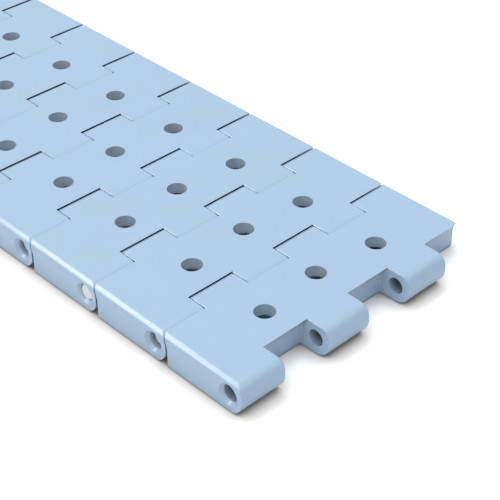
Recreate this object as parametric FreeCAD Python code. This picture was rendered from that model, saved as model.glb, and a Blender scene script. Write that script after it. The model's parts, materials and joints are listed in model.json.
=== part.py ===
import FreeCAD
import Part
import math
import os

# Flat-top perforated modular belt, as a straight strip lying on its running side.
# Each row is one moulded module as wide as the belt. Round-nosed knuckles on its front edge
# sit between the rear knuckles of the row ahead, and a headless rod through both is the hinge.
# X runs along the strip to its free front end, Y across it and Z up to the carrying face.
# The origin is the middle of the underside. All sizes are in millimetres.

# Strip
ROWS = 11
PITCH = 25.0
BELT_WIDTH = 83.8
THICKNESS = 8.7

# Hinge knuckles and the notches between them
KNUCKLES = 6
KNUCKLE_PITCH = 14.0
SIDE_GAP = 0.14
AXIS_DEPTH = 3.95
NOSE_REACH = 4.25
NOSE_TOP_RADIUS = 3.05
NOSE_FACE = 1.25
NOSE_GAP = 0.35
NOTCH_CORNER_RADIUS = 0.8
KNUCKLE_CHAMFER = 0.2

# Hinge rods
ROD_DIAMETER = 4.2
ROD_CLEARANCE = 0.1
ROD_CHAMFER = 0.3
ROD_END_PLAY = 0.2
ROD_INSETS = (2.15, 0.7, 2.05)
MOUTH_WIDTH = 0.72
MOUTH_DEPTH = 0.9
BORE_END_WALL = 1.5

# Carrying face
HOLE_DIAMETER = 5.4
HOLE_SPACING = 19.3
HOLE_STAGGER = 1.0
HOLE_SHIFT = -0.1
HOLE_OFFSET = 0.25
TOP_EDGE_RADIUS = 2.0
UNDER_EDGE_RADIUS = 0.5

# Cored underside
PLATE_THICKNESS = 3.2
END_WALL = 2.2
SIDE_WALL = 2.2
RIB_THICKNESS = 2.2
POCKET_RADIUS = 1.0

# Worked out from the sizes above. A nose runs from the top into an upright face and on into
# the underside by two roundings. The relief facing it is round about the hinge axis, and
# clears the part of the nose farthest from that axis.
HALF_PITCH = PITCH / 2
HALF_WIDTH = BELT_WIDTH / 2
AXIS_HEIGHT = THICKNESS - AXIS_DEPTH
NOSE_UNDER_RADIUS = THICKNESS - NOSE_TOP_RADIUS - NOSE_FACE
TOP_CENTRE_OFFSET = math.hypot(NOSE_REACH - NOSE_TOP_RADIUS, AXIS_DEPTH - NOSE_TOP_RADIUS)
SWING_RADIUS = TOP_CENTRE_OFFSET + NOSE_TOP_RADIUS
RELIEF_RADIUS = SWING_RADIUS + NOSE_GAP
LIP_SETBACK = math.sqrt(RELIEF_RADIUS**2 - AXIS_DEPTH**2)
BORE_RADIUS = ROD_DIAMETER / 2 + ROD_CLEARANCE
ROD_LENGTH = BELT_WIDTH - BORE_END_WALL - ROD_END_PLAY - max(ROD_INSETS)

X_AXIS = FreeCAD.Vector(1, 0, 0)
Y_AXIS = FreeCAD.Vector(0, 1, 0)
SAME = 1e-6


def point(x, y, z):
    return FreeCAD.Vector(x, y, z)


def across(profile, left, right):
    """Solid made by drawing a closed profile at y = 0 across the belt, from left to right."""
    solid = Part.Face(Part.Wire(profile)).extrude(point(0, right - left, 0))
    solid.translate(point(0, left, 0))
    return solid


def straight(start, end):
    return Part.LineSegment(start, end).toShape()


def round_about(centre, radius, first_angle, last_angle):
    """Arc in the X-Z plane. Angles are in degrees from +X towards +Z."""
    angles = (first_angle, (first_angle + last_angle) / 2, last_angle)
    spots = []
    for angle in angles:
        turn = math.radians(angle)
        spots.append(centre + point(radius * math.cos(turn), 0, radius * math.sin(turn)))
    return Part.Arc(*spots).toShape()


def mirrored(solid):
    """The same solid at the other end of the row."""
    return solid.mirror(point(0, 0, 0), X_AXIS)


def knuckle_limits(place):
    """Left and right limits of one knuckle place, counted from the left edge of the belt."""
    left = (place - KNUCKLES / 2) * KNUCKLE_PITCH
    right = left + KNUCKLE_PITCH
    if place == 0:
        left = -HALF_WIDTH
    if place == KNUCKLES - 1:
        right = HALF_WIDTH
    return left, right


def core():
    """Body of a row between its two relieved ends, each a lip over an upright wall."""
    axis = point(HALF_PITCH, 0, AXIS_HEIGHT)
    lip_angle = 180 - math.degrees(math.atan2(AXIS_DEPTH, LIP_SETBACK))
    wall = HALF_PITCH - RELIEF_RADIUS
    lip = HALF_PITCH - LIP_SETBACK
    profile = [
        straight(point(-wall, 0, 0), point(wall, 0, 0)),
        straight(point(wall, 0, 0), point(wall, 0, AXIS_HEIGHT)),
        round_about(axis, RELIEF_RADIUS, 180, lip_angle),
        straight(point(lip, 0, THICKNESS), point(-lip, 0, THICKNESS)),
        round_about(axis - point(PITCH, 0, 0), RELIEF_RADIUS, 180 - lip_angle, 0),
        straight(point(-wall, 0, AXIS_HEIGHT), point(-wall, 0, 0)),
    ]
    return across(profile, -HALF_WIDTH, HALF_WIDTH)


def front_knuckle(place):
    """One knuckle on the front edge, chamfered along the sides that face other knuckles."""
    left, right = knuckle_limits(place)
    inner_sides = []
    if place > 0:
        left += SIDE_GAP / 2
        inner_sides.append(left)
    if place < KNUCKLES - 1:
        right -= SIDE_GAP / 2
        inner_sides.append(right)
    root = HALF_PITCH - RELIEF_RADIUS - END_WALL / 2
    front = HALF_PITCH + NOSE_REACH
    top = point(front - NOSE_TOP_RADIUS, 0, THICKNESS - NOSE_TOP_RADIUS)
    under = point(front - NOSE_UNDER_RADIUS, 0, NOSE_UNDER_RADIUS)
    profile = [
        straight(point(root, 0, 0), point(under.x, 0, 0)),
        round_about(under, NOSE_UNDER_RADIUS, -90, 0),
        straight(point(front, 0, under.z), point(front, 0, top.z)),
        round_about(top, NOSE_TOP_RADIUS, 0, 90),
        straight(point(top.x, 0, THICKNESS), point(root, 0, THICKNESS)),
        straight(point(root, 0, THICKNESS), point(root, 0, 0)),
    ]
    solid = across(profile, left, right)
    rims = []
    for edge in solid.Edges:
        box = edge.BoundBox
        on_side = any(abs(box.YMin - y) + abs(box.YMax - y) < SAME for y in inner_sides)
        if on_side and box.XMax > root + SAME:
            rims.append(edge)
    return solid.makeChamfer(KNUCKLE_CHAMFER, rims)


def notch_corner(side, inward):
    """Rounding between a front notch's wall and the knuckle at y = side, under the lip."""
    reach = NOTCH_CORNER_RADIUS
    wall = HALF_PITCH - RELIEF_RADIUS
    top = AXIS_HEIGHT + math.sqrt(RELIEF_RADIUS**2 - (RELIEF_RADIUS - reach) ** 2)
    post = Part.makeBox(2 * reach, 2 * reach, top, point(wall - reach, side - reach, 0))
    hollow = Part.makeCylinder(reach, top, point(wall + reach, side + inward * reach, 0))
    return post.cut(hollow)


def front_notch_corners(place):
    left, right = knuckle_limits(place)
    corners = []
    if place > 0:
        corners.append(notch_corner(left - SIDE_GAP / 2, 1))
    if place < KNUCKLES - 1:
        corners.append(notch_corner(right + SIDE_GAP / 2, -1))
    return corners


def envelope():
    """Cross-section of the belt, rounded along both edges, as long as one row."""
    length = PITCH + 2 * NOSE_REACH
    solid = Part.makeBox(length, BELT_WIDTH, THICKNESS, point(-length / 2, -HALF_WIDTH, 0))
    for height, radius in ((THICKNESS, TOP_EDGE_RADIUS), (0, UNDER_EDGE_RADIUS)):
        edges = []
        for edge in solid.Edges:
            box = edge.BoundBox
            outer = min(abs(box.YMin + HALF_WIDTH), abs(box.YMax - HALF_WIDTH)) < SAME
            level = abs(box.ZMin - height) < SAME and abs(box.ZMax - height) < SAME
            if outer and level and box.XLength > PITCH:
                edges.append(edge)
        solid = solid.makeFillet(radius, edges)
    return solid


def bores():
    """Hinge bores at both ends, open at the left edge and closed by a wall at the right one."""
    cuts = []
    length = BELT_WIDTH - BORE_END_WALL
    for x in (-HALF_PITCH, HALF_PITCH):
        start = point(x, -HALF_WIDTH, AXIS_HEIGHT)
        cuts.append(Part.makeCylinder(BORE_RADIUS, length, start, Y_AXIS))
    mouth = point(HALF_PITCH, -HALF_WIDTH, AXIS_HEIGHT)
    wide = BORE_RADIUS + MOUTH_WIDTH
    cuts.append(Part.makeCone(wide, BORE_RADIUS, MOUTH_DEPTH, mouth, Y_AXIS))
    return cuts


def perforations():
    """Three drain holes through the carrying plate, the middle one set back."""
    cuts = []
    for step in (-1, 0, 1):
        lead = HOLE_STAGGER if step else -HOLE_STAGGER
        foot = point(HOLE_SHIFT + lead, HOLE_OFFSET + step * HOLE_SPACING, 0)
        cuts.append(Part.makeCylinder(HOLE_DIAMETER / 2, THICKNESS, foot))
    return cuts


def pockets():
    """Underside pockets between the ribs. The wide middle one takes a sprocket tooth."""
    ribs = []
    for place in range(1, KNUCKLES):
        line = knuckle_limits(place)[0]
        if abs(line) > RIB_THICKNESS:
            ribs.append(line)
    lows = [SIDE_WALL - HALF_WIDTH] + [line + RIB_THICKNESS / 2 for line in ribs]
    highs = [line - RIB_THICKNESS / 2 for line in ribs] + [HALF_WIDTH - SIDE_WALL]
    half = HALF_PITCH - RELIEF_RADIUS - END_WALL
    depth = THICKNESS - PLATE_THICKNESS
    cuts = []
    for low, high in zip(lows, highs):
        pocket = Part.makeBox(2 * half, high - low, depth, point(-half, low, 0))
        upright = [edge for edge in pocket.Edges if edge.BoundBox.ZLength > depth / 2]
        cuts.append(pocket.makeFillet(POCKET_RADIUS, upright))
    return cuts


def belt_module():
    """One moulded row, centred between its two hinge axes."""
    added = []
    for place in range(KNUCKLES):
        features = [front_knuckle(place)]
        if place % 2 == 0:
            added += features
            added += [mirrored(corner) for corner in front_notch_corners(place)]
        else:
            added += [mirrored(feature) for feature in features]
            added += front_notch_corners(place)
    solid = core().multiFuse(added).removeSplitter()
    solid = solid.common(envelope())
    solid = solid.cut(bores() + perforations() + pockets()).removeSplitter()
    return solid.Solids[0]


def hinge_rod(inset):
    """Headless rod lying in its bores, its left end below the belt's edge by inset."""
    start = point(0, inset - HALF_WIDTH, AXIS_HEIGHT)
    rod = Part.makeCylinder(ROD_DIAMETER / 2, ROD_LENGTH, start, Y_AXIS)
    rims = [edge for edge in rod.Edges if edge.BoundBox.YLength < SAME]
    return rod.makeChamfer(ROD_CHAMFER, rims)


def placed(solid, x):
    copy = solid.copy()
    copy.translate(point(x, 0, 0))
    return copy


os.makedirs("parts", exist_ok=True)
strip_half = ROWS * PITCH / 2
module = belt_module()
for row in range(1, ROWS + 1):
    middle = strip_half - (row - 0.5) * PITCH
    placed(module, middle).exportStep(f"parts/belt_module_{row:02d}.step")
for hinge in range(1, ROWS):
    rod = hinge_rod(ROD_INSETS[(hinge - 1) % len(ROD_INSETS)])
    placed(rod, strip_half - hinge * PITCH).exportStep(f"parts/hinge_rod_{hinge:02d}.step")
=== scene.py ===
import json
import math

import bmesh
import bpy
from mathutils import Matrix, Vector


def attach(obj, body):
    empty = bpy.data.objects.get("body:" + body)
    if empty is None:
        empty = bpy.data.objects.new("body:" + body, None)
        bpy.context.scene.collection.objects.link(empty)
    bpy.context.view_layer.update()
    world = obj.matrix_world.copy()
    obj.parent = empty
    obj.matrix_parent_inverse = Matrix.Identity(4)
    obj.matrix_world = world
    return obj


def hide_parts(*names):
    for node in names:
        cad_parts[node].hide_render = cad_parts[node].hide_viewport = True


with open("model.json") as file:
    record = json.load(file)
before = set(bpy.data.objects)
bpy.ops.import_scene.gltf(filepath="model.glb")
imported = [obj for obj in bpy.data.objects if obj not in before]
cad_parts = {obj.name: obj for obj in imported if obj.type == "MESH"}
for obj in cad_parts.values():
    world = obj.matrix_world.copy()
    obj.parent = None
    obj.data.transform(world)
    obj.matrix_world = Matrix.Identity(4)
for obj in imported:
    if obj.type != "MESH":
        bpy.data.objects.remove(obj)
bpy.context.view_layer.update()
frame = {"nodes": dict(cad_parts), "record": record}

# Light-blue modular belt strip on a white table, seen from its free front left corner.
# Lengths are in metres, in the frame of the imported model. Colours are linear.

# Camera: a long lens, looking down along the strip from its free front end
CAMERA_PLACE = (0.30506, -0.19933, 0.21469)
CAMERA_LOOK = (-0.57413, 0.56216, -0.59527)
CAMERA_RIGHT = (0.69821, 0.71589, 0.00265)
CAMERA_LENS = 101.46
CAMERA_SENSOR = 36.0
CAMERA_NEAR = 0.01

# Softening of the moulded edges
MODULE_EDGE_ROUND = 0.00010
ROD_EDGE_ROUND = 0.00012
ROUND_STEPS = 2
ROUND_PROFILE = 0.5
SHARP_ANGLE = math.radians(28)
FLAT_ANGLE = math.radians(0.5)
WELD_DISTANCE = 2e-6

# Belt colour, with shade painted in by how far a spot is open to its surroundings: 1 is open and 0
# is closed in
BELT_BLUE = (0.415, 0.588, 0.790)
# Painted shade and light: darker and greyer deep in recesses, paler and greyer part way in, plain
# blue in the open
RECESS_PAINTED_SHADE = (
    (0.15, (0.180, 0.235, 0.295)),
    (0.30, (0.375, 0.465, 0.560)),
    (0.50, (0.540, 0.665, 0.790)),
    (0.95, BELT_BLUE),
)
RECESS_REACH = 0.008
SEAM_REACH = 0.0010
SEAM_COVER = (0.30, 0.95)
# Painted shade: deep blue on upright faces close to another part or to the table, in seams and
# along the foot
SEAM_PAINTED_SHADE = (0.120, 0.245, 0.410, 1.0)
BELT_SAMPLES = 8

# Belt surface: how level it lies decides where painted seam shade colours it and how matt it is
SEAMLESS_FROM = (0.50, 0.80)
MATT_FROM = (0.965, 0.995)
BELT_ROUGHNESS = (0.26, 0.58)
CLOUD_SCALE = 55.0
CLOUD_DETAIL = 3.0
CLOUD_ROUGHNESS = 0.55
CLOUD_RANGE = (0.3, 0.7)
CLOUD_TONES = (0.965, 1.0)
CLOUD_MATTNESS = (0.92, 1.08)
GRAIN_SCALE = 3800.0
GRAIN_DETAIL = 2.0
GRAIN_ROUGHNESS = 0.6
GRAIN_STRENGTH = 0.12
RELIEF_DEPTH = 0.00002

# Rods
ROD_WHITE = (0.86, 0.88, 0.90, 1.0)
ROD_ROUGHNESS = (0.35, 0.50)
DRAW_LINE_SCALE = 2600.0
DRAW_LINE_DETAIL = 2.0
DRAW_LINE_STRETCH = (1.0, 0.04, 1.0)
DRAW_LINE_STRENGTH = 0.15

# Table, with a shadow painted round its contacts
TABLE_SIZE = 6.0
TABLE_DROP = 0.00005
TABLE_WHITE = 0.92
TABLE_SEEN = 1.38
CONTACT_REACH = 0.005
CONTACT_SAMPLES = 16
# Painted shadow: the table darker and warmer the more it is closed in near the strip
CONTACT_PAINTED_SHADOW = (
    (0.25, (0.350, 0.320, 0.290)),
    (0.45, (0.605, 0.562, 0.520)),
    (0.58, (0.745, 0.700, 0.655)),
    (0.75, (0.815, 0.775, 0.735)),
    (1.00, (1.0, 1.0, 1.0)),
)

# Light: one large softbox overhead, a dim sky that fades out low in front, and a strip behind
# on the left for the gleam along the edges
SKY_WHITE = (1.0, 1.0, 1.0, 1.0)
SKY_SEEN = 1.0
SKY_BRIGHT_SIDE = (-0.60, -0.15, 0.786)
SKY_DOT_RANGE = (-0.30, 0.60)
SKY_STRENGTH_RANGE = (0.02, 0.46)
SOFTBOX_PLACE = (0.02, -0.14, 1.20)
SOFTBOX_ALONG = (1.0, 0.0, 0.0)
SOFTBOX_WIDTH = math.radians(110)
SOFTBOX_STRENGTH = 1.96
GLEAM_PLACE = (-0.73, -0.46, 0.935)
GLEAM_ALONG = (0.0, -0.927, -0.375)
GLEAM_SIZE = (1.45, 0.26)
GLEAM_POWER = 14.5

UNIT = (0.0, 1.0)


def aim(thing, look, along):
    """Turns a lamp or camera to look one way, with its own X axis along another."""
    back = -Vector(look).normalized()
    right = Vector(along) - back * back.dot(Vector(along))
    right.normalize()
    thing.rotation_euler = Matrix((right, back.cross(right), back)).transposed().to_euler()


def link(thing):
    bpy.context.scene.collection.objects.link(thing)
    return thing


def new_material(name):
    """New material, with its node tree and its shader."""
    material = bpy.data.materials.new(name)
    material.use_nodes = True
    return material, material.node_tree, material.node_tree.nodes["Principled BSDF"]


def add_node(tree, kind, **inputs):
    """New shader node, each named input set to a value or joined to another node's output."""
    node = tree.nodes.new(kind)
    for name, value in inputs.items():
        socket = node.inputs[name.replace("_", " ")]
        if isinstance(value, bpy.types.NodeSocket):
            tree.links.new(value, socket)
        else:
            socket.default_value = value
    return node


def worked_out(tree, operation, *values):
    """Result of a Math node."""
    node = tree.nodes.new("ShaderNodeMath")
    node.operation = operation
    for value, socket in zip(values, node.inputs):
        tree.links.new(value, socket)
    return node.outputs["Value"]


def spread(tree, value, source, target):
    """A value taken from one range to another."""
    node = add_node(
        tree, "ShaderNodeMapRange", Value=value,
        From_Min=source[0], From_Max=source[1], To_Min=target[0], To_Max=target[1],
    )
    return node.outputs["Result"]


def ramp(tree, value, stops):
    """Colour for a value, from places and colours."""
    node = add_node(tree, "ShaderNodeValToRGB", Fac=value)
    while len(node.color_ramp.elements) < len(stops):
        node.color_ramp.elements.new(0.5)
    for element, (place, colour) in zip(node.color_ramp.elements, stops):
        element.position = place
        element.color = (*colour, 1.0)
    return node.outputs["Color"]


def mixed(tree, share, fixed, other):
    """Colour that goes from a fixed one, where the share is 0, to another node's, where it is 1."""
    node = tree.nodes.new("ShaderNodeMix")
    node.data_type = "RGBA"
    inputs = {socket.identifier: socket for socket in node.inputs}
    outputs = {socket.identifier: socket for socket in node.outputs}
    inputs["A_Color"].default_value = fixed
    tree.links.new(share, inputs["Factor_Float"])
    tree.links.new(other, inputs["B_Color"])
    return outputs["Result_Color"]


def scaled(tree, colour, share):
    node = tree.nodes.new("ShaderNodeVectorMath")
    node.operation = "SCALE"
    tree.links.new(colour, node.inputs["Vector"])
    tree.links.new(share, node.inputs["Scale"])
    return node.outputs["Vector"]


def openness(tree, reach, samples, own_piece_only=False):
    """How far a spot is open within a reach: 1 in the open, 0 where all is closed in."""
    node = add_node(tree, "ShaderNodeAmbientOcclusion", Distance=reach)
    node.samples = samples
    node.only_local = own_piece_only
    return node.outputs["AO"]


def belt_colour_and_painted_shade(tree, level, clouds):
    """Blue in the open, with painted shade: greyer and darker in recesses, deep blue in seams that
    don't lie level.
    """
    # Painted shade in recesses, from how open a spot is on its own piece
    recess = openness(tree, RECESS_REACH, BELT_SAMPLES, own_piece_only=True)
    # Painted shade in upright seams, from how open a spot is among all things, the table too
    seam = spread(tree, openness(tree, SEAM_REACH, BELT_SAMPLES), SEAM_COVER, UNIT)
    seamless = spread(tree, level, SEAMLESS_FROM, UNIT)
    clear = worked_out(tree, "MAXIMUM", seam, seamless)
    shade = mixed(tree, clear, SEAM_PAINTED_SHADE, ramp(tree, recess, RECESS_PAINTED_SHADE))
    return scaled(tree, shade, spread(tree, clouds, CLOUD_RANGE, CLOUD_TONES))


def belt_plastic():
    """Moulded plastic with painted shade in its recesses and seams: matt on level faces, smoother
    on rounded edges, cloudy and grained.
    """
    material, tree, shader = new_material("belt_blue_plastic")
    place = tree.nodes.new("ShaderNodeTexCoord").outputs
    facing = add_node(tree, "ShaderNodeSeparateXYZ", Vector=place["Normal"])
    level = worked_out(tree, "ABSOLUTE", facing.outputs["Z"])
    cloud_noise = add_node(
        tree, "ShaderNodeTexNoise", Vector=place["Object"],
        Scale=CLOUD_SCALE, Detail=CLOUD_DETAIL, Roughness=CLOUD_ROUGHNESS,
    )
    clouds = cloud_noise.outputs["Fac"]
    grain = add_node(
        tree, "ShaderNodeTexNoise", Vector=place["Object"],
        Scale=GRAIN_SCALE, Detail=GRAIN_DETAIL, Roughness=GRAIN_ROUGHNESS,
    )
    bump = add_node(
        tree, "ShaderNodeBump", Height=grain.outputs["Fac"],
        Strength=GRAIN_STRENGTH, Distance=RELIEF_DEPTH,
    )
    even = spread(tree, level, MATT_FROM, BELT_ROUGHNESS)
    cloudy = spread(tree, clouds, CLOUD_RANGE, CLOUD_MATTNESS)
    roughness = worked_out(tree, "MULTIPLY", even, cloudy)
    tree.links.new(belt_colour_and_painted_shade(tree, level, clouds), shader.inputs["Base Color"])
    tree.links.new(roughness, shader.inputs["Roughness"])
    tree.links.new(bump.outputs["Normal"], shader.inputs["Normal"])
    return material


def rod_plastic():
    """Natural white drawn rod, with faint draw lines along it."""
    material, tree, shader = new_material("rod_white_plastic")
    shader.inputs["Base Color"].default_value = ROD_WHITE
    place = tree.nodes.new("ShaderNodeTexCoord").outputs
    stretch = add_node(
        tree, "ShaderNodeMapping", Vector=place["Object"], Scale=DRAW_LINE_STRETCH
    )
    line_noise = add_node(
        tree, "ShaderNodeTexNoise", Vector=stretch.outputs["Vector"],
        Scale=DRAW_LINE_SCALE, Detail=DRAW_LINE_DETAIL,
    )
    lines = line_noise.outputs["Fac"]
    bump = add_node(
        tree, "ShaderNodeBump", Height=lines, Strength=DRAW_LINE_STRENGTH, Distance=RELIEF_DEPTH
    )
    tree.links.new(spread(tree, lines, UNIT, ROD_ROUGHNESS), shader.inputs["Roughness"])
    tree.links.new(bump.outputs["Normal"], shader.inputs["Normal"])
    return material


def softened(node, edge_round):
    """A copy of a CAD node's mesh with its flat faces made whole and its sharp edges rounded."""
    shape = bmesh.new()
    shape.from_mesh(frame["nodes"][node].data)
    bmesh.ops.remove_doubles(shape, verts=shape.verts, dist=WELD_DISTANCE)
    bmesh.ops.dissolve_limit(
        shape, angle_limit=FLAT_ANGLE, verts=shape.verts, edges=shape.edges, delimit=set()
    )
    sharp = [
        edge for edge in shape.edges
        if len(edge.link_faces) == 2 and edge.calc_face_angle() > SHARP_ANGLE
    ]
    bmesh.ops.bevel(
        shape, geom=sharp, offset=edge_round, offset_type="OFFSET", segments=ROUND_STEPS,
        profile=ROUND_PROFILE, affect="EDGES", clamp_overlap=True, harden_normals=False,
    )
    for face in shape.faces:
        face.smooth = True
    mesh = bpy.data.meshes.new(node)
    shape.to_mesh(mesh)
    shape.free()
    return mesh


def dress(node, body, edge_round, material):
    """Puts a softened, coloured piece in the place of a CAD node."""
    name = node.replace("belt_module", "row").replace("hinge_rod", "rod")
    piece = link(bpy.data.objects.new(name, softened(node, edge_round)))
    piece.data.materials.append(material)
    weighted = piece.modifiers.new("even_shading", "WEIGHTED_NORMAL")
    weighted.keep_sharp = True
    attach(piece, body)
    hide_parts(node)


def seen_rays(tree):
    """1 for rays of the camera, of reflections and of glass, 0 for the rays that carry light."""
    rays = tree.nodes.new("ShaderNodeLightPath").outputs
    seen = worked_out(tree, "MAXIMUM", rays["Is Camera Ray"], rays["Is Glossy Ray"])
    return worked_out(tree, "MAXIMUM", seen, rays["Is Transmission Ray"])


def white_table():
    """White surface, with a shadow painted darker close to a contact. What sees it, sees it white
    outside the shadow.
    """
    bpy.ops.mesh.primitive_plane_add(size=TABLE_SIZE, location=(0, 0, -TABLE_DROP))
    table = bpy.context.object
    table.name = "table"
    material, tree, shader = new_material("table_white")
    tree.nodes.remove(shader)
    # Painted shadow: darker where the table is closed in by the strip
    contact = ramp(tree, openness(tree, CONTACT_REACH, CONTACT_SAMPLES), CONTACT_PAINTED_SHADOW)
    white = spread(tree, seen_rays(tree), UNIT, (TABLE_WHITE, TABLE_SEEN))
    surface = add_node(tree, "ShaderNodeBsdfDiffuse", Color=scaled(tree, contact, white))
    tree.links.new(surface.outputs["BSDF"], tree.nodes["Material Output"].inputs["Surface"])
    table.data.materials.append(material)


def white_sky():
    """Soft light from all round but the low front. The camera and reflections see it white."""
    world = bpy.data.worlds.new("white_sky")
    bpy.context.scene.world = world
    world.use_nodes = True
    tree = world.node_tree
    place = tree.nodes.new("ShaderNodeTexCoord")
    side = tree.nodes.new("ShaderNodeVectorMath")
    side.operation = "DOT_PRODUCT"
    side.inputs[1].default_value = SKY_BRIGHT_SIDE
    tree.links.new(place.outputs["Generated"], side.inputs[0])
    lit = spread(tree, side.outputs["Value"], SKY_DOT_RANGE, SKY_STRENGTH_RANGE)
    strength = spread(tree, seen_rays(tree), UNIT, (lit, SKY_SEEN))
    sky = tree.nodes["Background"]
    sky.inputs["Color"].default_value = SKY_WHITE
    tree.links.new(strength, sky.inputs["Strength"])


def lamp(kind, name, place, along):
    """A lamp that looks at the middle of the strip."""
    thing = link(bpy.data.objects.new(name, bpy.data.lights.new(name, kind)))
    thing.location = place
    aim(thing, -Vector(place), along)
    return thing


def softboxes():
    """A wide soft light overhead, and a strip behind on the left that only gleams on the gloss."""
    softbox = lamp("SUN", "softbox", SOFTBOX_PLACE, SOFTBOX_ALONG)
    softbox.data.angle = SOFTBOX_WIDTH
    softbox.data.energy = SOFTBOX_STRENGTH
    gleam = lamp("AREA", "gleam", GLEAM_PLACE, GLEAM_ALONG)
    gleam.data.shape = "RECTANGLE"
    gleam.data.size, gleam.data.size_y = GLEAM_SIZE
    gleam.data.energy = GLEAM_POWER
    gleam.visible_diffuse = False


def camera():
    lens = bpy.data.cameras.new("camera")
    lens.lens = CAMERA_LENS
    lens.sensor_width = CAMERA_SENSOR
    lens.clip_start = CAMERA_NEAR
    thing = link(bpy.data.objects.new("camera", lens))
    thing.location = CAMERA_PLACE
    aim(thing, CAMERA_LOOK, CAMERA_RIGHT)
    bpy.context.scene.camera = thing


bpy.context.scene.view_settings.view_transform = "Standard"
blue = belt_plastic()
white = rod_plastic()
for body, nodes in frame["record"]["behaviour"]["bodies"].items():
    for node in nodes:
        if node.startswith("belt_module"):
            dress(node, body, MODULE_EDGE_ROUND, blue)
        else:
            dress(node, body, ROD_EDGE_ROUND, white)
white_table()
white_sky()
softboxes()
camera()
